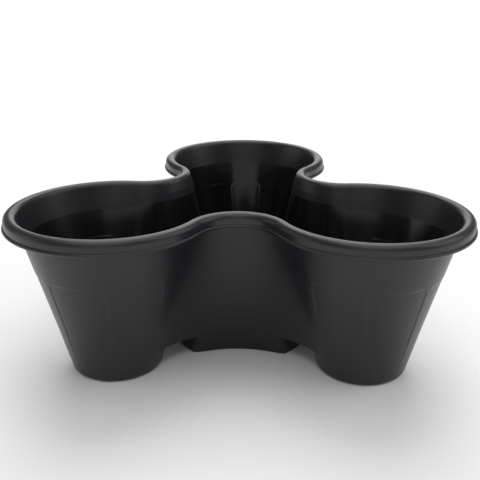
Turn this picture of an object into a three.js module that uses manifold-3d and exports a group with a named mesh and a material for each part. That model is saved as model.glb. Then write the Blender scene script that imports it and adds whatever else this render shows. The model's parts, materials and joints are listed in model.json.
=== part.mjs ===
// One tier of a stackable strawberry planter: a three-lobed, open-topped pot, moulded in polypropylene.
// Millimetres, +Z up. The origin is on the three-fold axis, on the surface that the tier stands on.
// The moulding is built zone by zone: floors, channel walls, channel ceilings, tall walls and rims,
// which meet face to face on flat planes.

import * as THREE from "three";
import { mergeVertices } from "three/addons/utils/BufferGeometryUtils.js";
import Module from "manifold-3d";

const wasm = await Module();
wasm.setup();

// Driving sizes of the whole tier
const HEIGHT = 149; // floor to rim crest
const WALL = 1.8; // wall thickness
const FLOOR = 2.2; // floor thickness of the cups and of the pedestal

// Plan of the tier: three lobe arcs joined by tangent waist arcs
const LOBE_CENTRE = 128.4; // axis to the centre of each lobe, at the rim
const RIM_LOBE_RADIUS = 82.4; // lobe centre to the rim crest
const RIM_WAIST = 74.3; // axis to the rim crest at the middle of a waist
const FOOT_LOBE_CENTRE = 129.5; // axis to the centre of each lobe, at the floor
const FOOT_LOBE_RADIUS = 40.2; // outside radius of a cup at the floor
const FOOT_WAIST = 43; // axis to the outside of a waist wall at the floor
const CUP_FILLET = 3.5; // outside fillet round the foot of each cup
const PEDESTAL_FILLET = 1.5; // outside fillet round the foot of the pedestal

// Rolled rim: a half-round roll, a skirt hanging from it and a bead on the skirt
const RIM_DEPTH = 12; // crest down to the top edge of the wall zones
const ROLL_RADIUS = 5.4; // crest line to the outside of the skirt
const RIM_GAUGE = 1.6; // thickness of the roll and the skirt
const WALL_SETBACK = 5.6; // crest line to the outside of the wall, at the rim's lower edge
const SKIRT_DEPTH = 11.4; // crest down to the lower edge of the skirt
const BEAD_DEPTH = 10; // crest down to the middle of the bead
const BEAD_HEIGHT = 2.2;
const BEAD_PROUD = 1; // bead standing out of the skirt

// Stacking channels, which take the rim of the tier below when it is turned by 60 degrees
const CHANNEL_HEIGHT = 19.6; // floor to the underside of the channel ceiling
const CEILING = 2; // thickness of the channel ceiling
const CHANNEL_CLEARANCE = 1; // pedestal wall to the rim of the tier below
const CHANNEL_DRAFT = 1; // lean of the pedestal's channel wall over its height
const PEDESTAL_CORNER = 10; // blend width at the pedestal's corners, at the floor
const CORNER_MARGIN = THREE.MathUtils.degToRad(0.5); // from the end of a channel wall zone to its corner
const TURN_MARGIN = THREE.MathUtils.degToRad(1.2); // from the end of a cup wall zone to its waist arc

// Shallow panels in the cup walls: the middle of each, its width and its relief
const PANEL_RELIEF = 0.45;
const PANEL_TOP = 49; // crest down to a panel's top edge
const PANEL_FOOT = 12; // floor up to the line where a panel has faded out
const PANEL_FADE = 40; // height over which it fades
const PANELS = [
  { middle: -91.25, width: 40.5 },
  { middle: -43.75, width: 47.5 },
  { middle: 0, width: 33 },
  { middle: 43.75, width: 47.5 },
  { middle: 91.25, width: 40.5 },
].map(({ middle, width }) => ({
  middle: THREE.MathUtils.degToRad(middle),
  width: THREE.MathUtils.degToRad(width),
}));
const PANEL_EDGE = THREE.MathUtils.degToRad(0.9); // width of a panel's sloping side edge
const PANEL_TOP_EDGE = 2.5; // height of its sloping top edge

// Drain holes
const HOLE_RADIUS = 2.75;
const HOLE_SETBACK = 14; // inside of a cup's or pedestal's wall to the middle of its holes
const CUP_HOLES = 6;
const CENTRE_HOLES = 3;

// Facets
const WAIST_STEPS = 12;
const TURN_STEPS = 1; // on each stretch of lobe arc that belongs to a waist zone
const RIM_LOBE_STEPS = 26;
const PANEL_STEP = THREE.MathUtils.degToRad(10);
const CUP_FLOOR_STEPS = 36;
const CHANNEL_WALL_STEPS = 14;
const PEDESTAL_STEPS = 8; // on each pedestal wall zone
const ROLL_STEPS = 6;
const GROOVE_STEPS = 4; // on the hollow under the roll
const FILLET_STEPS = 3;
const HOLE_STEPS = 8;

// Colours
const PLASTIC = { color: 0x3a393d, roughness: 0.42, metalness: 0 };

const LOBES = [
  { name: "back", angle: Math.PI / 2 },
  { name: "front_left", angle: (7 * Math.PI) / 6 },
  { name: "front_right", angle: (11 * Math.PI) / 6 },
];
const WAISTS = [
  { name: "front", angle: (3 * Math.PI) / 2 },
  { name: "back_right", angle: Math.PI / 6 },
  { name: "back_left", angle: (5 * Math.PI) / 6 },
];
const SIXTH = Math.PI / 3; // a lobe direction to the next waist direction

const TOLERANCE = 1e-4; // points closer than this are one point

const WALL_TOP = HEIGHT - RIM_DEPTH;
const CEILING_TOP = CHANNEL_HEIGHT + CEILING;
const PANEL_TOP_HEIGHT = HEIGHT - PANEL_TOP;
const TOP_LOBE_RADIUS = RIM_LOBE_RADIUS - WALL_SETBACK;
const TOP_WAIST = RIM_WAIST - WALL_SETBACK;
const FACE_TOP = RIM_WAIST - ROLL_RADIUS - CHANNEL_CLEARANCE; // axis to a channel wall, at the ceiling

const { lerp, smoothstep } = THREE.MathUtils;

// Evenly spaced values, both ends included
function steps(from, to, count) {
  return Array.from({ length: count + 1 }, (_, i) => lerp(from, to, i / count));
}

// The heights from bottom to top, with each mark that lies between them
function levels(bottom, top, marks) {
  const inside = marks.filter((z) => z > bottom + TOLERANCE && z < top - TOLERANCE);
  return [bottom, ...inside.sort((a, b) => a - b), top];
}

// A point in plan at a distance and angle from a base point
function polar(distance, angle, base = [0, 0]) {
  return [base[0] + distance * Math.cos(angle), base[1] + distance * Math.sin(angle)];
}

// A trefoil section. Each waist arc lies on the circle that touches both lobe circles and passes
// through the waist point. Its centre is outside the wall, at `reach` from the axis. `turn` is the
// angle at a lobe's centre from the lobe's direction to the point where its arc meets a waist arc.
function trefoil(lobeCentre, lobeRadius, waist) {
  const chord = waist ** 2 + lobeCentre ** 2 - lobeCentre * waist;
  const waistRadius = (chord - lobeRadius ** 2) / (lobeCentre + 2 * lobeRadius - 2 * waist);
  const reach = waist + waistRadius;
  const turn = Math.atan2(reach * Math.sin(SIXTH), reach * Math.cos(SIXTH) - lobeCentre);
  return { lobeBase: [lobeCentre, 0], lobeRadius, waistRadius, reach, turn };
}

const CREST = trefoil(LOBE_CENTRE, RIM_LOBE_RADIUS, RIM_WAIST);

// The outside of the walls at height z: every wall leans outwards by its own draft
function wallSection(z) {
  const share = z / WALL_TOP;
  return trefoil(
    lerp(FOOT_LOBE_CENTRE, LOBE_CENTRE, share),
    lerp(FOOT_LOBE_RADIUS, TOP_LOBE_RADIUS, share),
    lerp(FOOT_WAIST, TOP_WAIST, share),
  );
}

// A cup wall zone ends here, on both sides of its lobe's direction
const ZONE_TURN = Math.min(wallSection(0).turn, CREST.turn) - TURN_MARGIN;

// How far a fillet round a foot draws the outside wall in at height z
function footInset(z, fillet) {
  const below = Math.max(fillet - z, 0);
  return fillet - Math.sqrt(fillet ** 2 - below ** 2);
}

// A closed solid through a row of loops with equal point counts, capped at both ends. A loop is a
// list of [x, y, z], and a plan is a loop's outline in its own plane, for its cap.
function loft(loops, firstPlan, lastPlan = firstPlan) {
  const points = loops[0].length;
  const index = [];
  for (let row = 0; row < (loops.length - 1) * points; row += points) {
    for (let j = 0; j < points; j++) {
      const k = (j + 1) % points;
      index.push(row + j, row + k, row + points + k);
      index.push(row + j, row + points + k, row + points + j);
    }
  }
  const last = (loops.length - 1) * points;
  for (const [p, q, r] of capOf(firstPlan)) index.push(p, r, q);
  for (const [p, q, r] of capOf(lastPlan)) index.push(last + p, last + q, last + r);
  const geometry = new THREE.BufferGeometry();
  geometry.setAttribute("position", new THREE.Float32BufferAttribute(loops.flat(2), 3));
  geometry.setIndex(index);
  return geometry;
}

// The triangles of a plan, wound the way the plan runs
function capOf(plan) {
  const outline = plan.map(([x, y]) => new THREE.Vector2(x, y));
  const cap = THREE.ShapeUtils.triangulateShape(outline, []);
  const area = cap.reduce((sum, three) => sum + THREE.ShapeUtils.area(three.map((i) => outline[i])), 0);
  return area * THREE.ShapeUtils.area(outline) > 0 ? cap : cap.map(([p, q, r]) => [p, r, q]);
}

// A geometry as a solid for joining and cutting, turned to face outwards
function solid(geometry) {
  const merged = mergeVertices(geometry, TOLERANCE);
  const triVerts = new Uint32Array(merged.index.array);
  const vertProperties = new Float32Array(merged.attributes.position.array);
  const corner = (i) => new THREE.Vector3().fromArray(vertProperties, triVerts[i] * 3);
  let volume = 0;
  for (let i = 0; i < triVerts.length; i += 3) {
    volume += corner(i).dot(corner(i + 1).cross(corner(i + 2)));
  }
  if (volume < 0) triVerts.reverse();
  return new wasm.Manifold(new wasm.Mesh({ numProp: 3, vertProperties, triVerts }));
}

// A solid whose loops lie in horizontal planes
function stack(loops) {
  return solid(loft(loops, loops[0], loops.at(-1)));
}

// An upright prism over a plan outline
function prism(outline, bottom, top) {
  return stack([bottom, top].map((z) => outline.map(([x, y]) => [x, y, z])));
}

// A wall that follows a path in plan. side(station, z, inside) gives the point of its outer or inner
// face, and its cross-section is capped with the same heights and the wall's thickness.
function wall(stations, heights, side) {
  const loops = stations.map((station) => [
    ...heights.map((z) => [...side(station, z, false), z]),
    ...heights.toReversed().map((z) => [...side(station, z, true), z]),
  ]);
  const plan = [
    ...heights.map((z) => [1, z]),
    ...heights.toReversed().map((z) => [0, z]),
  ];
  return solid(loft(loops, plan));
}

const tier = new THREE.Group();

// One copy of a zone in each of the given directions. A zone is made with its own direction along +X.
function place(kind, made, directions) {
  const { vertProperties, triVerts } = made.getMesh();
  for (const { name, angle } of directions) {
    const geometry = new THREE.BufferGeometry();
    geometry.setAttribute("position", new THREE.BufferAttribute(new Float32Array(vertProperties), 3));
    geometry.setIndex(new THREE.BufferAttribute(new Uint32Array(triVerts), 1));
    geometry.computeVertexNormals();
    const mesh = new THREE.Mesh(geometry, new THREE.MeshStandardMaterial(PLASTIC));
    mesh.name = name ? `${kind}_${name}` : kind;
    mesh.rotation.z = angle;
    tier.add(mesh);
  }
}

// Rim: the cross-section as [distance outwards from the crest line, height], and its two sweeps
const skirtInside = ROLL_RADIUS - RIM_GAUGE;
const rollHeight = HEIGHT - ROLL_RADIUS;
const beadHeight = HEIGHT - BEAD_DEPTH;
const rimProfile = [
  [-WALL_SETBACK - WALL, WALL_TOP],
  ...steps(Math.PI, 0, ROLL_STEPS).map((turn) => polar(ROLL_RADIUS, turn, [0, rollHeight])),
  [ROLL_RADIUS, beadHeight + BEAD_HEIGHT / 2],
  [ROLL_RADIUS + BEAD_PROUD, beadHeight + BEAD_HEIGHT / 4],
  [ROLL_RADIUS + BEAD_PROUD, beadHeight - BEAD_HEIGHT / 4],
  [ROLL_RADIUS, beadHeight - BEAD_HEIGHT / 2],
  [ROLL_RADIUS, HEIGHT - SKIRT_DEPTH],
  [skirtInside, HEIGHT - SKIRT_DEPTH],
  ...steps(0, Math.PI, GROOVE_STEPS).map((turn) => polar(skirtInside, turn, [0, rollHeight])),
  [-WALL_SETBACK, WALL_TOP],
];

const rimOverLobe = steps(-ZONE_TURN, ZONE_TURN, RIM_LOBE_STEPS).map((turn) =>
  rimProfile.map(([out, z]) => [...polar(RIM_LOBE_RADIUS + out, turn, CREST.lobeBase), z]),
);
place("lobe_rim", solid(loft(rimOverLobe, rimProfile)), LOBES);

// The path of a waist zone, with the waist's direction along +X: a stretch of lobe arc, the waist
// arc and a stretch of the other lobe's arc. Each station gives its point at a distance outwards.
function waistPath({ lobeBase, lobeRadius, waistRadius, reach, turn }) {
  const lobeStation = (side, along) => (out) =>
    polar(lobeRadius + out, side * (SIXTH - along), polar(lobeBase[0], side * SIXTH));
  const waistStation = (share) => (out) =>
    polar(waistRadius - out, Math.PI - share * (turn - SIXTH), [reach, 0]);
  const stretch = steps(ZONE_TURN, turn, TURN_STEPS);
  return [
    ...stretch.map((along) => lobeStation(1, along)),
    ...steps(1, -1, WAIST_STEPS).slice(1, -1).map(waistStation),
    ...stretch.toReversed().map((along) => lobeStation(-1, along)),
  ];
}

const rimOverWaist = waistPath(CREST).map((station) =>
  rimProfile.map(([out, z]) => [...station(out), z]),
);
place("waist_rim", solid(loft(rimOverWaist, rimProfile)), WAISTS);

// Cup walls: cones with shallow panels, which are pressed in outside and stand out inside
function relief(turn, z) {
  const rise = smoothstep(z, PANEL_FOOT, PANEL_FOOT + PANEL_FADE);
  const top = 1 - smoothstep(z, PANEL_TOP_HEIGHT - PANEL_TOP_EDGE, PANEL_TOP_HEIGHT);
  const across = PANELS.map(({ middle, width }) => {
    const inFromEdge = width / 2 - Math.abs(turn - middle);
    return THREE.MathUtils.clamp(inFromEdge / PANEL_EDGE, 0, 1);
  });
  return PANEL_RELIEF * rise * top * Math.max(...across);
}

const panelTurns = PANELS.flatMap(({ middle, width }) => {
  const half = width / 2 - PANEL_EDGE;
  const count = Math.ceil((2 * half) / PANEL_STEP);
  return [middle - width / 2, ...steps(middle - half, middle + half, count), middle + width / 2];
});
const cupFillet = steps(0, CUP_FILLET, FILLET_STEPS);
const cupWallLevels = levels(FLOOR, WALL_TOP, [
  ...cupFillet,
  PANEL_FOOT,
  PANEL_FOOT + PANEL_FADE,
  PANEL_TOP_HEIGHT - PANEL_TOP_EDGE,
  PANEL_TOP_HEIGHT,
]);

function cupWallPoint(turn, z, inside) {
  const { lobeBase, lobeRadius } = wallSection(z);
  const inset = inside ? WALL : footInset(z, CUP_FILLET);
  return polar(lobeRadius - inset - relief(turn, z), turn, lobeBase);
}

place(
  "cup_wall",
  wall(levels(-ZONE_TURN, ZONE_TURN, panelTurns), cupWallLevels, cupWallPoint),
  LOBES,
);
const channelTurns = steps(ZONE_TURN, 2 * Math.PI - ZONE_TURN, CHANNEL_WALL_STEPS);
place(
  "cup_channel_wall",
  wall(channelTurns, levels(FLOOR, CEILING_TOP, [...cupFillet, CHANNEL_HEIGHT]), cupWallPoint),
  LOBES,
);

// A ring of round holes through a floor
function drill(floor, base, holes, circle, firstTurn) {
  const round = steps(0, 2 * Math.PI, HOLE_STEPS).slice(1);
  return steps(0, 2 * Math.PI, holes).slice(1).reduce((left, turn) => {
    const centre = polar(circle, firstTurn + turn, base);
    const outline = round.map((angle) => polar(HOLE_RADIUS, angle, centre));
    return left.subtract(prism(outline, -FLOOR, 2 * FLOOR));
  }, floor);
}

const cupFloor = stack(
  levels(0, FLOOR, cupFillet).map((z) =>
    steps(0, 2 * Math.PI, CUP_FLOOR_STEPS).slice(1).map((turn) => [...cupWallPoint(turn, z, false), z]),
  ),
);
const cupHoleCircle = FOOT_LOBE_RADIUS - WALL - HOLE_SETBACK;
const footBase = [FOOT_LOBE_CENTRE, 0];
place("cup_floor", drill(cupFloor, footBase, CUP_HOLES, cupHoleCircle, 0), LOBES);

// Waist distance: from the axis to a waist wall, at an angle from the waist's direction
function waistDistance({ reach, waistRadius }, angle, thickness) {
  const room = (waistRadius + thickness) ** 2 - (reach * Math.sin(angle)) ** 2;
  return room > 0 ? reach * Math.cos(angle) - Math.sqrt(room) : Infinity;
}

// Face distance: from the axis to a channel wall of the pedestal, which is round in plan
function faceDistance(z, thickness) {
  return FACE_TOP - CHANNEL_DRAFT * Math.max(1 - z / CHANNEL_HEIGHT, 0) - thickness;
}

// The pedestal's outline: the nearer of the two, with corners that are blended at the floor and
// sharpen towards the ceiling
function pedestalPoint(angle, z, inside) {
  const thickness = inside ? WALL : footInset(z, PEDESTAL_FILLET);
  const turned = Math.abs(angle);
  const toWaist = waistDistance(wallSection(z), SIXTH - turned, thickness);
  const toFace = faceDistance(z, thickness);
  const width = Math.max(PEDESTAL_CORNER * (1 - z / CHANNEL_HEIGHT), TOLERANCE);
  const blend = Math.max(width - Math.abs(toWaist - toFace), 0);
  return polar(Math.min(toWaist, toFace) - blend ** 2 / (4 * width), angle);
}

// The corner between a channel wall and a waist wall, as an angle from the lobe's direction
function cornerAngle(z) {
  const section = wallSection(z);
  const nearer = (angle) => faceDistance(z, 0) < waistDistance(section, SIXTH - angle, 0);
  let low = 0;
  let high = SIXTH;
  while (high - low > TOLERANCE) {
    const middle = (low + high) / 2;
    if (nearer(middle)) low = middle;
    else high = middle;
  }
  return low;
}

// A channel wall zone of the pedestal ends here, on both sides of its lobe's direction
const ZONE_ANGLE = cornerAngle(CHANNEL_HEIGHT) - CORNER_MARGIN;
const pedestalFillet = steps(0, PEDESTAL_FILLET, FILLET_STEPS);
const pedestalTurns = steps(-ZONE_ANGLE, ZONE_ANGLE, 2 * PEDESTAL_STEPS);

place(
  "pedestal_channel_wall",
  wall(
    pedestalTurns,
    levels(FLOOR, CEILING_TOP, [...pedestalFillet, CHANNEL_HEIGHT]),
    pedestalPoint,
  ),
  LOBES,
);

// The same outline seen from a waist's direction
function pedestalWaistPoint(angle, z, inside) {
  const side = angle < 0 ? -1 : 1;
  const [x, y] = pedestalPoint(SIXTH - Math.abs(angle), z, inside);
  return polar(Math.hypot(x, y), side * (SIXTH - Math.atan2(y, x)));
}

place(
  "pedestal_waist_wall",
  wall(
    steps(ZONE_ANGLE - SIXTH, SIXTH - ZONE_ANGLE, PEDESTAL_STEPS),
    levels(FLOOR, CHANNEL_HEIGHT, pedestalFillet),
    pedestalWaistPoint,
  ),
  WAISTS,
);

// Centre floor: the pedestal's whole outline, lobe by lobe
const centreLobeTurns = steps(-SIXTH, SIXTH, 3 * PEDESTAL_STEPS).slice(1);
const centreFloor = stack(
  levels(0, FLOOR, pedestalFillet).map((z) =>
    LOBES.flatMap(({ angle }) =>
      centreLobeTurns.map((turn) => {
        const [x, y] = pedestalPoint(turn, z, false);
        return [...polar(Math.hypot(x, y), angle + turn), z];
      }),
    ),
  ),
);
const centreHoleCircle = FOOT_WAIST - WALL - HOLE_SETBACK;
place(
  "centre_floor",
  drill(centreFloor, [0, 0], CENTRE_HOLES, centreHoleCircle, LOBES[0].angle),
  [{ name: "", angle: 0 }],
);

// Channel ceilings, with the lobe's direction along +X. The outline runs from the cup along one
// waist wall, round the outside of the pedestal, back along the other waist wall and round the
// outside of the cup.
const touchTurn = Math.max(wallSection(CHANNEL_HEIGHT).turn, wallSection(CEILING_TOP).turn);
const cupTurns = channelTurns.filter((along) => Math.abs(along - Math.PI) < Math.PI - touchTurn);

function ceilingOutline(z) {
  const section = wallSection(z);
  const { lobeBase, lobeRadius, waistRadius, reach, turn } = section;
  const outer = waistDistance(section, SIXTH - ZONE_ANGLE, 0);
  const flank = (side) => {
    const centre = polar(reach, side * SIXTH);
    const [x, y] = polar(outer, side * ZONE_ANGLE);
    const toCup = Math.PI + side * turn;
    const away = Math.atan2(y - centre[1], x - centre[0]) - toCup;
    const swing = Math.atan2(Math.sin(away), Math.cos(away));
    return steps(toCup, toCup + swing, WAIST_STEPS / 2).map((angle) =>
      polar(waistRadius, angle, centre),
    );
  };
  return [
    ...flank(1),
    ...pedestalTurns.toReversed().map((angle) => pedestalPoint(angle, z, false)),
    ...flank(-1).toReversed(),
    ...cupTurns.toReversed().map((along) => polar(lobeRadius, along, lobeBase)),
  ].map(([x, y]) => [x, y, z]);
}

place("channel_ceiling", stack([CHANNEL_HEIGHT, CEILING_TOP].map(ceilingOutline)), LOBES);

// Waist walls, cut back over the channel ceilings at both sides
const waistLevels = levels(CHANNEL_HEIGHT, WALL_TOP, steps(CHANNEL_HEIGHT, WALL_TOP, 4));
const waistPaths = new Map(waistLevels.map((z) => [z, waistPath(wallSection(z))]));
const waistWall = wall(
  waistPaths.get(WALL_TOP).map((_, i) => i),
  waistLevels,
  (i, z, inside) => waistPaths.get(z)[i](inside ? -WALL : 0),
);
const farOut = LOBE_CENTRE + RIM_LOBE_RADIUS;
const overCeilings = [-1, 1].map((side) => {
  const outline = [-1, 1].map((way) => polar(farOut, side * (SIXTH + way * ZONE_ANGLE)));
  return prism([[0, 0], ...outline], CHANNEL_HEIGHT - CEILING, CEILING_TOP);
});
place(
  "waist_wall",
  overCeilings.reduce((left, cut) => left.subtract(cut), waistWall),
  WAISTS,
);

export default tier;
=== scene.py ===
import json
import math

import bmesh
import bpy
import numpy as np
from mathutils import Matrix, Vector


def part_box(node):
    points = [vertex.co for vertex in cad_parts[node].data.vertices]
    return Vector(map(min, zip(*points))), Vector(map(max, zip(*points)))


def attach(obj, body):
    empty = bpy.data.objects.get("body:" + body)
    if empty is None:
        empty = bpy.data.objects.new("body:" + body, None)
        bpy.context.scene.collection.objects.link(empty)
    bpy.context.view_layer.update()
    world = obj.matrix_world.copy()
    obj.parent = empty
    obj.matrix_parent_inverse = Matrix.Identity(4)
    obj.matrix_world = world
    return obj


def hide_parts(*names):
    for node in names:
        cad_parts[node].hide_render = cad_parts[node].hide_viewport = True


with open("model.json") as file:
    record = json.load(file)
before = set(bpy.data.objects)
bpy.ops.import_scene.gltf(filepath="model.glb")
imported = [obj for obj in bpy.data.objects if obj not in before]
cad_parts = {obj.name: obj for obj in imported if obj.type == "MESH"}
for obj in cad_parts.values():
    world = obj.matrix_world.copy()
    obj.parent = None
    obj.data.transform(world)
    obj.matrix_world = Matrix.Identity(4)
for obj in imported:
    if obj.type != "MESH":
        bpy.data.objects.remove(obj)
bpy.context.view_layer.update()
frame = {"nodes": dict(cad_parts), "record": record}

# Rolled rim, moulded in one with the walls: a half-round roll over an open groove, with a skirt and a
# bead, along three lobe arcs and three waist arcs. Its bead and skirt are about 1 mm lower than in the
# solids, as the photograph shows them. All sizes are in millimetres.
mount = {m["name"]: np.array(m["pos_m"]) * 1000 for m in frame["record"]["mounts"]}
CREST = 1000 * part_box("lobe_rim_back")[1].z
LOBE_CENTRE = 128.4  # axis to the centre of each lobe, at the rim
RIM_LOBE_RADIUS = 82.4  # lobe centre to the crest line
RIM_WAIST = 74.3  # axis to the crest line, at the middle of a waist
WALL = 1.8  # wall thickness
WALL_SETBACK = 5.6  # crest line to the outside of the wall, at its top edge
RIM_DEPTH = 12.0  # crest down to the top edge of the walls
ROLL_RADIUS = 5.4  # crest line to the outside of the skirt
RIM_GAUGE = 1.6  # thickness of the roll and the skirt
SKIRT_DEPTH = 12.8  # crest down to the skirt's lower edge
SKIRT_EDGE = 0.5  # rounding of the skirt's lower edge
BEAD_DEPTH = 10.8  # crest down to the middle of the bead
BEAD_HEIGHT = 3.0
BEAD_PROUD = 1.4  # bead standing out of the skirt
FOOT_LOBE_CENTRE = mount["cup_foot_back"][1]
FOOT_LOBE_RADIUS = 40.2  # outside radius of a cup at the floor
FOOT_WAIST = 43.0  # axis to the outside of a waist wall, carried down to the floor
LOBES = {"back": math.pi / 2, "front_left": 7 * math.pi / 6, "front_right": 11 * math.pi / 6}
WAISTS = {"front": 3 * math.pi / 2, "back_right": math.pi / 6, "back_left": 5 * math.pi / 6}
SIXTH = math.pi / 3  # a lobe's direction to the next waist's direction
HAIR = 0.08  # from a joint to the row next to it, so that the shading runs straight into the joint
WALL_TOP = CREST - RIM_DEPTH


def trefoil(lobe_centre, lobe_radius, waist):
    """Waist arc's radius, its centre's distance from the axis, and the turn at a lobe's centre from
    the lobe's direction to where the arcs meet. The waist arc touches both lobe circles from outside
    and passes through the waist point, so waist radius = (waist² + centre² - centre·waist - lobe²)
    / (centre + 2·lobe - 2·waist)."""
    chord = waist**2 + lobe_centre**2 - lobe_centre * waist
    radius = (chord - lobe_radius**2) / (lobe_centre + 2 * lobe_radius - 2 * waist)
    reach = waist + radius
    turn = np.arctan2(reach * math.sin(SIXTH), reach * math.cos(SIXTH) - lobe_centre)
    return radius, reach, turn


def polar(distance, angle, base=(0.0, 0.0)):
    """Plan points: base + distance times (cosine, sine) of the angle."""
    return np.stack([base[0] + distance * np.cos(angle), base[1] + distance * np.sin(angle)], -1)


def raised(plan, z):
    """Plan points with their heights."""
    return np.concatenate([plan, np.broadcast_to(z, plan.shape[:-1])[..., None]], -1)


def turned(points, angle):
    """The points turned about the tier's axis."""
    c, s = math.cos(angle), math.sin(angle)
    x, y = points[..., 0], points[..., 1]
    return np.concatenate([(c * x - s * y)[..., None], (s * x + c * y)[..., None], points[..., 2:]], -1)


def smooth(t):
    """0 to 1 over the unit range, level at both ends: 3t² - 2t³."""
    t = np.clip(t, 0, 1)
    return t * t * (3 - 2 * t)


def quads(index, closed_rows=False, closed_columns=False):
    """The corners of each cell of a grid of vertex numbers. Rows that run anticlockwise and columns
    that run upwards give faces that look outwards."""
    rows = np.concatenate([index, index[:1]]) if closed_rows else index
    grid = np.concatenate([rows, rows[:, :1]], 1) if closed_columns else rows
    return np.stack([grid[:-1, :-1], grid[1:, :-1], grid[1:, 1:], grid[:-1, 1:]], -1)


def hex_to_linear(code):
    """An sRGB hex colour as linear red, green, blue and alpha."""
    channels = [int(code[i : i + 2], 16) / 255 for i in (0, 2, 4)]
    return [c / 12.92 if c <= 0.04045 else ((c + 0.055) / 1.055) ** 2.4 for c in channels] + [1.0]


def add_node(tree, kind, settings=None, links=None):
    """A shader node with its settings. Each link names an input, or gives its number, and holds a
    value or another node's socket."""
    node = tree.nodes.new(kind)
    for key, value in (settings or {}).items():
        setattr(node, key, value)
    for key, value in (links or {}).items():
        if isinstance(value, bpy.types.NodeSocket):
            tree.links.new(value, node.inputs[key])
        else:
            node.inputs[key].default_value = value
    return node


# Injection-moulded polypropylene, pigmented charcoal with a trace of violet. Spark-eroded mould faces
# leave it satin outside and in a band below the rim. The polished core leaves it near black and
# glossy deeper inside, where the room shows in it as soft patches.
CHARCOAL = "1e1c21"
CHARCOAL_WARM = "211f23"
POLISHED_BLACK = "121214"
SATIN = 0.34  # roughness of the spark-eroded faces
POLISHED = 0.16  # roughness deep inside
POLYPROPYLENE_IOR = 1.49
GRAIN = 0.9  # spark-erosion grain is about 0.05 mm, too fine to show, so it is drawn coarser
GRAIN_HEIGHT = 0.02
CLOUD = 40.0  # slow changes of tone and level, where the melt flowed and shrank
CLOUD_HEIGHT = 0.12
GRAIN_DETAIL = 3.0  # octaves of noise
CLOUD_DETAIL = 2.0
BAND_AT_WAIST = 19.0  # crest down to the end of the satin band inside
BAND_AT_LOBE = 25.0
BAND_REACH = 54.0  # outwards from the waist, over which the band deepens
BAND_EDGE = 1.6  # height over which the band ends
MM = 0.001
MERGE = 1e-6  # metres; points nearer than this are one point
CREASE = math.radians(40)  # sharper edges aren't shaded smooth

plastic = bpy.data.materials.new("polypropylene_charcoal_moulded")
plastic.use_nodes = True
tree = plastic.node_tree
tree.nodes.clear()
place = add_node(tree, "ShaderNodeTexCoord").outputs["Object"]
grain, cloud = (
    add_node(tree, "ShaderNodeTexNoise", None, {"Vector": place, "Scale": 1 / (size * MM), "Detail": detail})
    for size, detail in ((GRAIN, GRAIN_DETAIL), (CLOUD, CLOUD_DETAIL))
)
height = add_node(tree, "ShaderNodeSeparateXYZ", None, {"Vector": place}).outputs["Z"]
band_end = add_node(tree, "ShaderNodeAttribute", {"attribute_name": "band_end"}).outputs["Fac"]
below = add_node(tree, "ShaderNodeMath", {"operation": "SUBTRACT"}, {0: band_end, 1: height})
polish = add_node(
    tree, "ShaderNodeMapRange", {"interpolation_type": "SMOOTHSTEP"},
    {"Value": below.outputs[0], "From Min": -BAND_EDGE / 2 * MM, "From Max": BAND_EDGE / 2 * MM},
).outputs["Result"]
tone = add_node(
    tree, "ShaderNodeMix", {"data_type": "RGBA"},
    {0: cloud.outputs["Fac"], 6: hex_to_linear(CHARCOAL), 7: hex_to_linear(CHARCOAL_WARM)},
)
colour = add_node(
    tree, "ShaderNodeMix", {"data_type": "RGBA"},
    {0: polish, 6: tone.outputs[2], 7: hex_to_linear(POLISHED_BLACK)},
)
rough = add_node(tree, "ShaderNodeMapRange", None, {"Value": polish, "To Min": SATIN, "To Max": POLISHED})
uneven = add_node(
    tree, "ShaderNodeBump", None, {"Height": cloud.outputs["Fac"], "Distance": CLOUD_HEIGHT * MM}
)
texture = add_node(
    tree, "ShaderNodeBump", None,
    {"Height": grain.outputs["Fac"], "Distance": GRAIN_HEIGHT * MM, "Normal": uneven.outputs["Normal"]},
)
shader = add_node(
    tree, "ShaderNodeBsdfPrincipled", None,
    {"Base Color": colour.outputs[2], "Roughness": rough.outputs["Result"], "IOR": POLYPROPYLENE_IOR,
     "Normal": texture.outputs["Normal"]},
)
add_node(tree, "ShaderNodeOutputMaterial", None, {"Surface": shader.outputs[0]})


def moulding(name, points, faces, inside, nodes):
    """A piece of the tier. Doubles are merged, and creases stay sharp. Each
    point carries the height at which the satin band ends: CREST less a depth that grows smoothly
    from the waists to the lobes, or far below the floor for the points that aren't inside."""
    points = points.reshape(-1, 3)
    outwards = smooth((np.hypot(points[:, 0], points[:, 1]) - RIM_WAIST) / BAND_REACH)
    band = CREST - BAND_AT_WAIST - (BAND_AT_LOBE - BAND_AT_WAIST) * outwards
    mesh = bpy.data.meshes.new(name)
    mesh.from_pydata((points * MM).tolist(), [], faces.reshape(-1, 4).tolist())
    mark = mesh.attributes.new("band_end", "FLOAT", "POINT")
    mark.data.foreach_set("value", np.where(inside.reshape(-1), band * MM, -1.0).astype(np.float32))
    piece = bpy.data.objects.new(name, mesh)
    bpy.context.collection.objects.link(piece)
    merged = bmesh.new()
    merged.from_mesh(mesh)
    bmesh.ops.remove_doubles(merged, verts=merged.verts, dist=MERGE)
    merged.to_mesh(mesh)
    merged.free()
    mesh.shade_smooth()
    mesh.set_sharp_from_angle(angle=CREASE)
    mesh.materials.append(plastic)
    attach(piece, "root")
    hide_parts(*nodes)


ROLL_POINTS = 26  # this and the next five: points along each stretch of the rim's cross-section
GROOVE_POINTS = 13
INNER_POINTS = 8
OUTER_POINTS = 6
EDGE_POINTS = 4
BEAD_POINTS = 11


def hermite(start, end, start_slope, end_slope, count):
    """Points of the cubic from start to end with the given end tangents, ends included."""
    t = np.linspace(0, 1, count)[:, None]
    return ((2 * t**3 - 3 * t**2 + 1) * start + (t**3 - 2 * t**2 + t) * start_slope
            + (3 * t**2 - 2 * t**3) * end + (t**3 - t**2) * end_slope)


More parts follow.
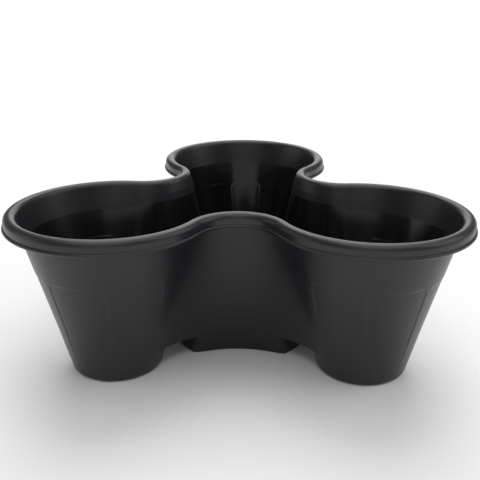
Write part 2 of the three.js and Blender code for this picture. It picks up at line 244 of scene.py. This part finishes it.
def rim_profile():
    """The rim's cross-section as (distance outwards from the crest line, height), all the way round:
    down the outside of the wall's top, through the groove, up the skirt with its bead, over the roll
    and down the inside. The wall's stretches are cubics that leave along its lean."""
    lean = np.array([(RIM_LOBE_RADIUS - WALL_SETBACK - FOOT_LOBE_RADIUS) / WALL_TOP, 1.0])
    middle = (0.0, CREST - ROLL_RADIUS)
    inside = np.array([-WALL_SETBACK - WALL, WALL_TOP])
    outside = np.array([-WALL_SETBACK, WALL_TOP])
    roll = polar(ROLL_RADIUS, np.linspace(0, math.pi - math.atan(lean[0]), ROLL_POINTS), middle)
    rise = lean * (roll[-1][1] - WALL_TOP)
    inner = hermite(roll[-1], inside, -rise, -rise, INNER_POINTS)[1:-1]
    groove = polar(ROLL_RADIUS - RIM_GAUGE, np.linspace(math.pi, 0, GROOVE_POINTS), middle)
    climb = lean * (groove[0][1] - WALL_TOP)
    outer = hermite(outside, groove[0], climb, climb * (0.0, 1.0), OUTER_POINTS)[1:-1]
    hem = np.array([[ROLL_RADIUS - RIM_GAUGE, CREST - SKIRT_DEPTH]])
    edge = polar(SKIRT_EDGE, np.linspace(-math.pi / 2, 0, EDGE_POINTS),
                 (ROLL_RADIUS - SKIRT_EDGE, CREST - SKIRT_DEPTH + SKIRT_EDGE))
    swell = np.linspace(-math.pi / 2, math.pi / 2, BEAD_POINTS)[1:]
    bead = np.stack([
        ROLL_RADIUS + BEAD_PROUD * np.cos(swell),
        CREST - BEAD_DEPTH + BEAD_HEIGHT / 2 * np.sin(swell),
    ], -1)
    hair = lean * HAIR
    return np.concatenate([[outside, outside + hair], outer, groove, hem, edge, bead, roll, inner,
                           [inside + hair, inside]])


LOBE_STATIONS = 116
WAIST_STATIONS = 30
profile = rim_profile()
out, z = profile.T
radius, reach, meet = trefoil(LOBE_CENTRE, RIM_LOBE_RADIUS, RIM_WAIST)
over_lobe = np.linspace(-meet, meet, LOBE_STATIONS)
over_waist = math.pi + SIXTH - np.linspace(-1, 1, WAIST_STATIONS)[1:-1] * (meet - SIXTH)
lobe_part = polar(RIM_LOBE_RADIUS + out, over_lobe[:, None], (LOBE_CENTRE, 0.0))
waist_part = polar(radius - out, over_waist[:, None], tuple(polar(reach, SIXTH)))
third = raised(np.concatenate([lobe_part, waist_part]), z)
ring = np.concatenate([turned(third, math.pi / 2 + k * 2 * SIXTH) for k in range(3)])
ring_faces = quads(np.arange(ring[..., 0].size).reshape(ring.shape[:2]), True, True)
rim_nodes = [n for n in frame["nodes"] if n.startswith(("lobe_rim", "waist_rim"))]
moulding("rolled_rim", ring, ring_faces, np.zeros(ring.shape[:2], bool), rim_nodes)


# Planting cups: three tapered pots. Their outer walls carry shallow pressed panels, which show much
# less on the polished inside. Their short walls towards the middle stop at the channel ceiling.
FLOOR = 2.2  # thickness of the bases
CHANNEL_HEIGHT = mount["stacking_seat_back"][2]
CEILING = 2.0  # thickness of the channel webs
CEILING_TOP = CHANNEL_HEIGHT + CEILING
CUP_FILLET = 3.5  # round the foot of a cup
CUP_FLOOR_RADIUS = 34.0  # where the base joins the wall's foot
EDGE_ROUND = 0.8  # rounding of the free edges by the channels
PANEL_RELIEF = 0.45  # how far the panels are pressed in
PANEL_RELIEF_INSIDE = 0.16
PANEL_TOP = 49.0  # crest down to the top edge of the panels
PANEL_FOOT = 12.0  # floor up to where they have faded out
PANEL_FADE = 40.0  # height over which they fade
PANEL_CORNER = 7.0  # radius of the top corners
PANEL_EDGE = 1.2  # width of a panel's sloping edge
PANEL_MIDDLES = np.radians([-91.25, -43.75, 0.0, 43.75, 91.25])
PANEL_WIDTHS = np.radians([40.5, 47.5, 33.0, 47.5, 40.5])
PANEL_STATIONS = 200  # round a cup, over the panels
CHANNEL_STATIONS = 50  # round a cup, over its channel side
WALL_ROWS = 56
CUP_LEVEL = 15.0  # height at which the rows of both faces of a cup's wall become level
CHANNEL_SIDE_TURN = 0.2  # from the seams inwards, where the channel side's edge begins to be rounded
FILLET_STATIONS = 7  # on the quarter round of a foot
ROUND_STATIONS = 5  # on the quarter round of an edge
FINE = 4000  # steps of a running sum
TOUCHING = 1e-3  # points nearer than this close an edge to nothing
SEAM_TURN = 0.03  # from where the arcs meet to the first panel station, on each side of a cup


def wall_section(z):
    """Lobe centre, lobe radius and waist of the outside of the walls, each growing in a straight
    line from the floor to the rim."""
    share = z / WALL_TOP
    lobe_centre = FOOT_LOBE_CENTRE + (LOBE_CENTRE - FOOT_LOBE_CENTRE) * share
    lobe_radius = FOOT_LOBE_RADIUS + (RIM_LOBE_RADIUS - WALL_SETBACK - FOOT_LOBE_RADIUS) * share
    waist = FOOT_WAIST + (RIM_WAIST - WALL_SETBACK - FOOT_WAIST) * share
    return lobe_centre, lobe_radius, waist


def relief(turn, z):
    """Share of a panel's depth: 1 inside a rectangle with round top corners, falling to nothing over
    its edge width, and fading out towards the foot."""
    side = (PANEL_WIDTHS / 2 - np.abs(turn[..., None] - PANEL_MIDDLES)).max(-1) * wall_section(z)[1]
    below = CREST - PANEL_TOP - z
    corner = np.hypot(np.maximum(PANEL_CORNER - side, 0), np.maximum(PANEL_CORNER - below, 0))
    return smooth((z - PANEL_FOOT) / PANEL_FADE) * smooth((PANEL_CORNER - corner) / PANEL_EDGE)


def gathered(low, high, count, marks, width, gain):
    """count values from low to high, up to gain times closer together near each mark: the running
    sum of the density 1 + gain·exp(-((value - mark)/width)²), read backwards."""
    fine = np.linspace(low, high, FINE)
    density = 1 + gain * np.exp(-(((fine[:, None] - marks) / width) ** 2)).sum(1)
    total = np.concatenate([[0], np.cumsum((density[1:] + density[:-1]) / 2)])
    return np.interp(np.linspace(0, total[-1], count), total, fine)


def edge_rounding(z, top):
    """How far the rounding of an edge at height top draws a face in, at height z: a quarter circle."""
    drop = np.clip(top - z, 0, EDGE_ROUND)
    return np.where(z <= top, EDGE_ROUND - np.sqrt(EDGE_ROUND**2 - (EDGE_ROUND - drop) ** 2), 0)


def quarter(count):
    """Angles of a quarter turn, ends included."""
    return np.radians(np.linspace(0, 90, count))


def foot_rows(heights, fillet, floor_height, flat_rows=1):
    """Heights and draw-in of one face of a wall that rises from a floor: flat rows on the floor, a
    quarter round of the fillet, then straight up through the given heights."""
    bend = quarter(FILLET_STATIONS)[1:-1]
    curve = floor_height + fillet * (1 - np.cos(bend))
    z = np.concatenate([np.full(flat_rows + 1, floor_height), curve, heights])
    inset = np.concatenate([np.full(flat_rows + 1, fillet), fillet * (1 - np.sin(bend)), 0 * heights])
    return z, inset


def slab(outer, inner, kept=None, closed_rows=False):
    """A closed solid between two grids of points: the kept cells of both, and a joint face along
    each edge where kept cells end. An edge is such an end if no kept cell runs it the other way and
    its two points are apart. Gives the points, the faces and which points are inner ones."""
    count = outer[..., 0].size
    cells = quads(np.arange(count).reshape(outer.shape[:2]), closed_rows)
    cells = cells.reshape(-1, 4) if kept is None else cells[kept]
    start, end = cells.reshape(-1), np.roll(cells, -1, 1).reshape(-1)
    points = np.concatenate([outer.reshape(-1, 3), inner.reshape(-1, 3)])
    ends = ~np.isin(start * count + end, end * count + start)
    ends &= np.linalg.norm(points[start] - points[end], axis=1) > TOUCHING
    a, b = start[ends], end[ends]
    joints = np.stack([b, a, a + count, b + count], -1)
    faces = np.concatenate([cells, cells[:, ::-1] + count, joints])
    return points, faces, np.arange(2 * count) >= count


# Stations run round a cup from one waist to the other over the panels, then over the channel side.
foot_meet = trefoil(*wall_section(0.0))[2]
panel_edges = np.concatenate([PANEL_MIDDLES - PANEL_WIDTHS / 2, PANEL_MIDDLES + PANEL_WIDTHS / 2])
panel_turns = gathered(
    SEAM_TURN - foot_meet, foot_meet - SEAM_TURN, PANEL_STATIONS, panel_edges, math.radians(1.5), 5.0
)
cup_heights = np.concatenate([
    [CUP_FILLET, CUP_FILLET + HAIR, 7, 11, CUP_LEVEL, CHANNEL_HEIGHT],
    CEILING_TOP - EDGE_ROUND * (1 - np.sin(quarter(ROUND_STATIONS))),
    [CEILING_TOP + HAIR],
    gathered(CEILING_TOP + 1.5, WALL_TOP - HAIR, WALL_ROWS, np.array([CREST - PANEL_TOP]), 6.0, 4.0),
    [WALL_TOP],
])


def cup_face(z, inset, thickness, depth):
    """One face of a cup, with the lobe's direction along +X: the lobe circle at each height, less
    the wall's thickness, the foot's draw-in and the panels."""
    lobe_centre, lobe_radius, waist = wall_section(z)
    meet = np.broadcast_to(trefoil(lobe_centre, lobe_radius, waist)[2], (1, len(z)))
    panels = np.broadcast_to(panel_turns[:, None], (PANEL_STATIONS, len(z)))
    share = np.linspace(0, 1, CHANNEL_STATIONS)[1:-1, None]
    hair = HAIR / FOOT_LOBE_RADIUS
    turn = np.concatenate([
        -meet, hair - meet, panels, meet - hair, meet, meet + 2 * (math.pi - meet) * share
    ])
    radius = lobe_radius - thickness - inset - depth * relief(turn, z)
    if thickness:
        channel_side = np.abs(turn - math.pi) < math.pi - foot_meet - CHANNEL_SIDE_TURN
        radius = radius + channel_side * edge_rounding(z, CEILING_TOP)
    radius[:, 0] = CUP_FLOOR_RADIUS
    return raised(polar(radius, turn, (lobe_centre, 0.0)), z)


outer_rows = foot_rows(cup_heights, CUP_FILLET, 0.0)
lifted = np.interp(cup_heights, [CUP_FILLET, CUP_LEVEL, WALL_TOP], [FLOOR + CUP_FILLET, CUP_LEVEL, WALL_TOP])
inner_rows = foot_rows(lifted, CUP_FILLET, FLOOR)
cup_outer = cup_face(*outer_rows, 0.0, PANEL_RELIEF)
cup_inner = cup_face(*inner_rows, WALL, PANEL_RELIEF_INSIDE)
ceiling_row = int(np.argmin(np.abs(outer_rows[0] - CEILING_TOP)))
cup_kept = np.ones((len(cup_outer), len(outer_rows[0]) - 1), bool)
cup_kept[PANEL_STATIONS + 3 :, ceiling_row:] = False
points, faces, inside = slab(cup_outer, cup_inner, cup_kept, closed_rows=True)
for name, angle in LOBES.items():
    cup_nodes = [f"cup_wall_{name}", f"cup_channel_wall_{name}"]
    moulding(f"cup_{name}", turned(points, angle), faces, inside, cup_nodes)


# Cup bases: the flat feet that the tier stands on, each with a ring of round drain holes. They are
# moulded in one with the cup walls, and polished above.
HOLE_RADIUS = 2.75  # drain holes
HOLE_SETBACK = 14.0  # inside of the wall to the middle of a hole
CUP_HOLES = 6
DISC_STATIONS = 144  # round a base, a multiple of the number of holes
HOLE_CELLS = 3  # half the width of a hole, in cells of the grid
CELL = 1.03  # radial size of a cell near the holes


def drilled_disc(radius, circle, holes, first):
    """A flat round base as a polar grid of stations and radii, with its kept cells. Round each hole
    the square of cells within HOLE_CELLS is left out, and the squares about it are drawn into rings:
    a point at m times the hole's half width, for m from 1 to 2, lies at the share m - 1 between the
    hole's circle and the grid's own place at m = 2, in the same direction."""
    near = circle + CELL * np.arange(-2 * HOLE_CELLS, 2 * HOLE_CELLS + 1)
    radii = np.concatenate([np.linspace(0, near[0], 6)[:-1], near, np.linspace(near[-1], radius, 3)[1:]])
    hole_row = np.argmin(np.abs(radii - circle))
    step = 2 * math.pi / DISC_STATIONS
    apart = DISC_STATIONS // holes
    station = np.arange(DISC_STATIONS)[:, None]
    row = np.arange(len(radii))[None, :]
    across = (station + apart // 2) % apart - apart // 2
    along = row - hole_row
    hole_turn = (station - across) * step
    m = np.maximum(np.abs(along), np.abs(across)) / HOLE_CELLS
    twice = 2 / np.maximum(m, 1 / HOLE_CELLS)
    grid = polar(radii[row] + 0.0 * station, station * step + first + 0.0 * row)
    direction = np.arctan2(across, along) + hole_turn + first
    hole = polar(circle, hole_turn + first)
    circled = hole + polar(HOLE_RADIUS, direction)
    two_radii = np.interp(hole_row + along * twice, row[0], radii)
    two = polar(two_radii, hole_turn + first + across * twice * step)
    share = np.clip(m - 1, 0, 1)[..., None]
    plan = np.where((m < 2)[..., None], circled * (1 - share) + two * share, grid)
    closed = np.concatenate([m, m[:1]])
    corners = [closed[:-1, :-1], closed[1:, :-1], closed[:-1, 1:], closed[1:, 1:]]
    return plan, np.max(corners, 0) > 1 + 1e-6


def base_slab(radius, wall_radius, holes, first, middle):
    """The solid between a drilled disc on the ground and the same disc one floor's thickness up."""
    plan, kept = drilled_disc(radius, wall_radius - WALL - HOLE_SETBACK, holes, first)
    return slab(raised(plan + middle, 0.0), raised(plan + middle, FLOOR), kept, closed_rows=True)


foot_base = (FOOT_LOBE_CENTRE, 0.0)
points, faces, inside = base_slab(CUP_FLOOR_RADIUS, FOOT_LOBE_RADIUS, CUP_HOLES, 0.0, foot_base)
for name, angle in LOBES.items():
    moulding(f"cup_base_{name}", turned(points, angle), faces, inside, [f"cup_floor_{name}"])


# Pedestal: the middle of the tier, open to all three cups, with a drilled base. Its channel walls keep
# clear of the rim of the tier below, and its three corners rise into the waist walls.
CHANNEL_CLEARANCE = 1.0  # channel wall to the rim of the tier below
CHANNEL_DRAFT = 1.0  # lean of a channel wall over its height
PEDESTAL_CORNER = 10.0  # blend width at the corners, at the floor
PEDESTAL_FILLET = 1.5
PEDESTAL_INNER_FILLET = 3.0
PEDESTAL_ROWS = (3, 5, 7.5, 10, 12.5, 15, 17, 18)  # heights, up to just below the ceiling
PEDESTAL_LEVEL = 12.5  # height at which the rows of both faces become level
CENTRE_FLOOR_RADIUS = 36.0  # where the base joins the wall's foot
CENTRE_HOLES = 3
FLAT_ROWS = 5
FACE_STATIONS = 25  # on each channel wall
SIDE_STATIONS = 37  # on each waist side
HALVINGS = 40  # of a span, when a crossing is looked for
NEVER = 1e6  # length of a ray that meets nothing
FREE_TURN = 0.08  # turn, or share of an arc, over which an edge's rounding comes in
FACE_TOP = RIM_WAIST - ROLL_RADIUS - CHANNEL_CLEARANCE  # axis to a channel wall, at the ceiling


def face_distance(z, thickness):
    """From the axis to the pedestal's channel wall, which is round in plan."""
    return FACE_TOP - CHANNEL_DRAFT * np.maximum(1 - z / CHANNEL_HEIGHT, 0) - thickness


def waist_distance(z, angle, thickness):
    """From the axis to a waist wall, at an angle from the waist's direction: the near crossing of a
    ray with the waist circle, which is thickness larger for the inside face."""
    radius, reach, _ = trefoil(*wall_section(z))
    room = (radius + thickness) ** 2 - (reach * np.sin(angle)) ** 2
    return np.where(room > 0, reach * np.cos(angle) - np.sqrt(np.maximum(room, 0)), NEVER)


def corner_angle(z, thickness):
    """Where the pedestal's channel wall and waist wall cross, from the lobe's direction, by halving."""
    low, high = np.zeros_like(z), np.full_like(z, SIXTH)
    for _ in range(HALVINGS):
        middle = (low + high) / 2
        nearer = face_distance(z, thickness) < waist_distance(z, SIXTH - middle, thickness)
        low, high = np.where(nearer, middle, low), np.where(nearer, high, middle)
    return low


def pedestal_face(fillet, floor_height, thickness):
    """One face of the pedestal: at each angle the nearer of channel wall and waist wall, blended over
    a width that shrinks to nothing at the ceiling, less width_left² / (4·width)."""
    lifted = np.interp(
        pedestal_heights, [PEDESTAL_ROWS[0], PEDESTAL_LEVEL, CEILING_TOP],
        [floor_height + fillet, PEDESTAL_LEVEL, CEILING_TOP],
    )
    z, inset = foot_rows(lifted, fillet, floor_height, FLAT_ROWS)
    corner = corner_angle(np.minimum(z, CHANNEL_HEIGHT), thickness)
    face = np.linspace(-1, 1, FACE_STATIONS)[:, None] * corner
    side = corner + np.linspace(0, 1, SIDE_STATIONS)[1:-1, None] * (2 * SIXTH - 2 * corner)
    angle = np.concatenate([face, side])
    from_lobe = np.abs(np.where(angle > SIXTH, angle - 2 * SIXTH, angle))
    to_face = face_distance(z, thickness + inset)
    to_waist = waist_distance(z, SIXTH - from_lobe, thickness + inset)
    width = np.maximum(PEDESTAL_CORNER * (1 - z / CHANNEL_HEIGHT), 1e-4)
    width_left = np.maximum(width - np.abs(to_waist - to_face), 0)
    radius = np.minimum(to_face, to_waist) - width_left**2 / (4 * width)
    if thickness:
        from_corner = np.clip((corner - from_lobe) / FREE_TURN, 0, 1)
        radius = radius + edge_rounding(z, CEILING_TOP) * from_corner
    flat = np.linspace(0, 1, FLAT_ROWS + 1)
    start = radius[:, FLAT_ROWS : FLAT_ROWS + 1]
    radius[:, : FLAT_ROWS + 1] = CENTRE_FLOOR_RADIUS + (start - CENTRE_FLOOR_RADIUS) * flat
    third = raised(polar(radius, angle), z)
    return np.concatenate([turned(third, math.pi / 2 + k * 2 * SIXTH) for k in range(3)])


pedestal_heights = np.concatenate([
    PEDESTAL_ROWS,
    [CHANNEL_HEIGHT - HAIR, CHANNEL_HEIGHT],
    CEILING_TOP - EDGE_ROUND * (1 - np.sin(quarter(ROUND_STATIONS))),
])
pedestal_outer = pedestal_face(PEDESTAL_FILLET, 0.0, 0.0)
pedestal_inner = pedestal_face(PEDESTAL_INNER_FILLET, FLOOR, WALL)
on_face = np.tile(np.arange(FACE_STATIONS + SIDE_STATIONS - 2) < FACE_STATIONS - 1, 3)
channel_row = int(np.argmin(np.abs(pedestal_outer[0, :, 2] - CHANNEL_HEIGHT)))
pedestal_kept = np.ones((len(on_face), pedestal_outer.shape[1] - 1), bool)
pedestal_kept[~on_face, channel_row:] = False
points, faces, inside = slab(pedestal_outer, pedestal_inner, pedestal_kept, closed_rows=True)
pedestal_nodes = [n for n in frame["nodes"] if n.startswith("pedestal")]
moulding("pedestal", points, faces, inside, pedestal_nodes)
points, faces, inside = base_slab(CENTRE_FLOOR_RADIUS, FOOT_WAIST, CENTRE_HOLES, math.pi / 2, (0.0, 0.0))
moulding("pedestal_base", points, faces, inside, ["centre_floor"])


# Waist walls: the inward-curved walls between the cups, moulded in one with them. They lean outwards
# from the pedestal to the rim. Beside the pedestal their lower edges hang free and are rounded.
WAIST_ROWS = 40
WAIST_WALL_STATIONS = 49
JOINT_SHARE = 0.002  # of a waist arc, from a joint to the station next to it
CUP_SHARE = 0.3  # of a waist arc, over which the rounding dies out towards a cup

waist_shares = np.linspace(-1, 1, WAIST_WALL_STATIONS)
waist_shares = np.concatenate([[-1, JOINT_SHARE - 1], waist_shares[1:-1], [1 - JOINT_SHARE, 1]])
waist_z = np.concatenate([
    [CHANNEL_HEIGHT, CHANNEL_HEIGHT + HAIR],
    CHANNEL_HEIGHT + EDGE_ROUND * (1 - np.cos(np.radians([40, 60, 75, 90]))),
    np.linspace(CEILING_TOP, WALL_TOP - HAIR, WAIST_ROWS),
    [WALL_TOP],
])


def waist_face(inwards):
    """Points of a waist wall, with its waist's direction along +X: on the waist arc at each height,
    that far inwards of its outside."""
    radius, reach, meet = trefoil(*wall_section(waist_z))
    angle = math.pi - waist_shares[:, None] * (meet - SIXTH)
    across = (radius + inwards) * np.cos(angle)
    return raised(np.stack([reach + across, (radius + inwards) * np.sin(angle)], -1), waist_z)


# the share of the waist arc at which the pedestal's corner lies, at the ceiling
ceiling_z = np.array([CHANNEL_HEIGHT])
corner = corner_angle(ceiling_z, 0.0)
corner_x, corner_y = polar(face_distance(ceiling_z, 0.0), SIXTH - corner)[0]
radius, reach, meet = trefoil(*wall_section(CHANNEL_HEIGHT))
corner_share = (math.pi - math.atan2(corner_y, corner_x - reach)) / (meet - SIXTH)
from_corner = np.clip((np.abs(waist_shares) - corner_share) / FREE_TURN, 0, 1)
from_cup = np.clip((1 - np.abs(waist_shares)) / CUP_SHARE, 0, 1)
free = from_corner * from_cup
drop = np.clip(CHANNEL_HEIGHT + EDGE_ROUND - waist_z, 0, EDGE_ROUND)
drawn = (EDGE_ROUND - np.sqrt(EDGE_ROUND**2 - drop**2)) * free[:, None]
points, faces, inside = slab(waist_face(drawn), waist_face(WALL))
for name, angle in WAISTS.items():
    moulding(f"waist_panel_{name}", turned(points, angle), faces, inside, [f"waist_wall_{name}"])


# Channel webs: the flat ceilings of the stacking channels, which rest on the rim of the tier below.
# They are moulded in one with the cup, the pedestal and the waist walls, with a small fillet.
WEB_FILLET = 1.2
FLAT_POINTS = 8
CORNER_TURN = 0.06  # turn over which a web's far edge changes from flank to channel wall
FLANK_STATIONS = 24
WEB_SINK = 0.5  # how far a web's fillets run into their neighbours


def web_rays(z):
    """Turns of the rays from the lobe's centre, and their lengths: from where the inside of one flank
    leaves the cup to the same place on the other side, by way of the pedestal's corners. A ray ends
    at the nearer of the flank's circle and the channel wall's circle."""
    lobe_centre, lobe_radius, waist = wall_section(z)
    radius, reach, meet = trefoil(lobe_centre, lobe_radius, waist)
    inner = radius + WALL
    apart = lobe_radius + radius
    first = meet + math.acos((lobe_radius**2 + apart**2 - inner**2) / (2 * lobe_radius * apart))
    centre = polar(reach, SIXTH) - np.array([lobe_centre, 0.0])

    def lengths(turn):
        along = np.cos(turn) * centre[0] + np.abs(np.sin(turn)) * centre[1]
        room = along**2 - (apart**2 - inner**2)
        flank = np.where(room > 0, along - np.sqrt(np.maximum(room, 0)), NEVER)
        room = FACE_TOP**2 - (lobe_centre * np.sin(turn)) ** 2
        wall = np.where(room > 0, -lobe_centre * np.cos(turn) - np.sqrt(np.maximum(room, 0)), NEVER)
        return flank, wall

    low, high = first, math.pi
    for _ in range(HALVINGS):
        middle = (low + high) / 2
        flank, wall = lengths(np.array([middle]))
        low, high = (middle, high) if flank[0] < wall[0] else (low, middle)
    flank_turns = np.linspace(first, low, FLANK_STATIONS)
    wall_turns = np.linspace(low, 2 * math.pi - low, 2 * FLANK_STATIONS)[1:-1]
    turn = np.concatenate([flank_turns, wall_turns, 2 * math.pi - flank_turns[::-1]])
    length = np.minimum(*lengths(turn))
    length[[0, -1]] = lobe_radius
    return turn, length, (lobe_centre, lobe_radius), low


def web_face(z, under):
    """One face of a web: along each ray a sunk start, a fillet, a flat stretch, a fillet and a sunk
    end. The underside's fillets turn down to the cup and the pedestal, the top's up to the flanks."""
    turn, length, (lobe_centre, start), corner = web_rays(z)
    room = (length - start)[:, None]
    size = np.minimum(WEB_FILLET, room / 3)
    arc = quarter(ROUND_STATIONS)
    near = size * (1 - np.cos(arc))
    flat = size + np.linspace(0, 1, FLAT_POINTS)[1:-1] * (room - 2 * size)
    far = room - size * (1 - np.cos(arc[::-1]))
    past_corner = np.minimum(turn - corner, 2 * math.pi - corner - turn)
    by_wall = smooth((past_corner + CORNER_TURN / 3) / CORNER_TURN)[:, None]
    sink = WEB_SINK * size / WEB_FILLET
    lift = size * (1 - np.sin(arc))
    if under:
        along = [-sink, near, flat, far, room + sink * by_wall]
        rise = [-size, -lift, 0 * flat, -lift[:, ::-1] * by_wall, -size * by_wall]
    else:
        along = [0 * size, near, flat, far, room + sink * (1 - by_wall)]
        rise = [0 * size, 0 * lift, 0 * flat, lift[:, ::-1] * (1 - by_wall), size * (1 - by_wall)]
    plan = polar(start + np.concatenate(along, 1), turn[:, None], (lobe_centre, 0.0))
    return raised(plan, z + np.concatenate(rise, 1))


points, faces, inside = slab(web_face(CHANNEL_HEIGHT, True), web_face(CEILING_TOP, False))
for name, angle in LOBES.items():
    moulding(f"channel_web_{name}", turned(points, angle), faces, inside, [f"channel_ceiling_{name}"])


# Studio floor: a wide sweep of matt white paint under the tier, far larger than the view. It is there
# only for the picture.
FLOOR_HALF_WIDTH = 45.0  # metres
FLOOR_WHITE = "f4f4f4"
FLOOR_ROUGHNESS = 0.9

mesh = bpy.data.meshes.new("studio_floor")
corners = FLOOR_HALF_WIDTH * np.array([(-1, -1, 0), (1, -1, 0), (1, 1, 0), (-1, 1, 0)])
mesh.from_pydata(corners.tolist(), [], [(0, 1, 2, 3)])
paint = bpy.data.materials.new("floor_matt_white_paint")
paint.use_nodes = True
coat = paint.node_tree.nodes["Principled BSDF"]
coat.inputs["Base Color"].default_value = hex_to_linear(FLOOR_WHITE)
coat.inputs["Roughness"].default_value = FLOOR_ROUGHNESS
mesh.materials.append(paint)
floor = bpy.data.objects.new("studio_floor", mesh)
bpy.context.collection.objects.link(floor)

# Studio light: an even room with wide soft sources. The strongest hang overhead, one a little before
# the tier and one behind it. Each has its power, its spread, its tilt from the zenith and its bearing
# from the back, in degrees.
ROOM = 0.18  # strength of the room's own light
SOURCES = {
    "zenith": (1.15, 60, -12, 0),
    "overhead_back": (1.5, 50, 35, 0),
    "horizon_back": (0.5, 40, 80, 0),
    "front_low": (0.25, 50, 65, 180),
    "right": (0.65, 50, 55, 90),
    "left_low": (0.22, 40, 78, 270),
}

world = bpy.data.worlds.new("even_room")
bpy.context.scene.world = world
world.use_nodes = True
walls = world.node_tree.nodes["Background"]
walls.inputs["Color"].default_value = (1, 1, 1, 1)
walls.inputs["Strength"].default_value = ROOM
for name, (power, spread, tilt, bearing) in SOURCES.items():
    source = bpy.data.lights.new(name, "SUN")
    source.energy = power
    source.angle = math.radians(spread)
    lamp = bpy.data.objects.new(name, source)
    lamp.rotation_euler = (-math.radians(tilt), 0, -math.radians(bearing))
    bpy.context.collection.objects.link(lamp)

# Camera: its place, angles, lens and shift are fitted to the photograph's outline, crest and bead.
# The place is in millimetres and the angles are in degrees.
CAMERA_PLACE = (16.2, -615.15, 325.6)
PITCH, YAW, ROLL = np.radians([20.27, -0.85, 0.42])
LENS = 50.76  # focal length, for a sensor of the width below
SENSOR = 36.0
FRAME = 480  # pixels
SHIFT = (-8.58, -2.45)  # pixels

forward = np.array([math.sin(YAW) * math.cos(PITCH), math.cos(YAW) * math.cos(PITCH), -math.sin(PITCH)])
level = np.array([math.cos(YAW), -math.sin(YAW), 0.0])
upright = np.cross(level, forward)
side = math.cos(ROLL) * level + math.sin(ROLL) * upright
top = -math.sin(ROLL) * level + math.cos(ROLL) * upright
lens = bpy.data.cameras.new("camera")
lens.lens = LENS
lens.sensor_width = SENSOR
lens.shift_x, lens.shift_y = (pixels / FRAME for pixels in SHIFT)
camera = bpy.data.objects.new("camera", lens)
bpy.context.collection.objects.link(camera)
axes = np.stack([side, top, -forward, np.array(CAMERA_PLACE) * MM], 1)
camera.matrix_world = Matrix(axes.tolist() + [[0, 0, 0, 1]])
bpy.context.scene.camera = camera
bpy.context.scene.view_settings.view_transform = "Standard"
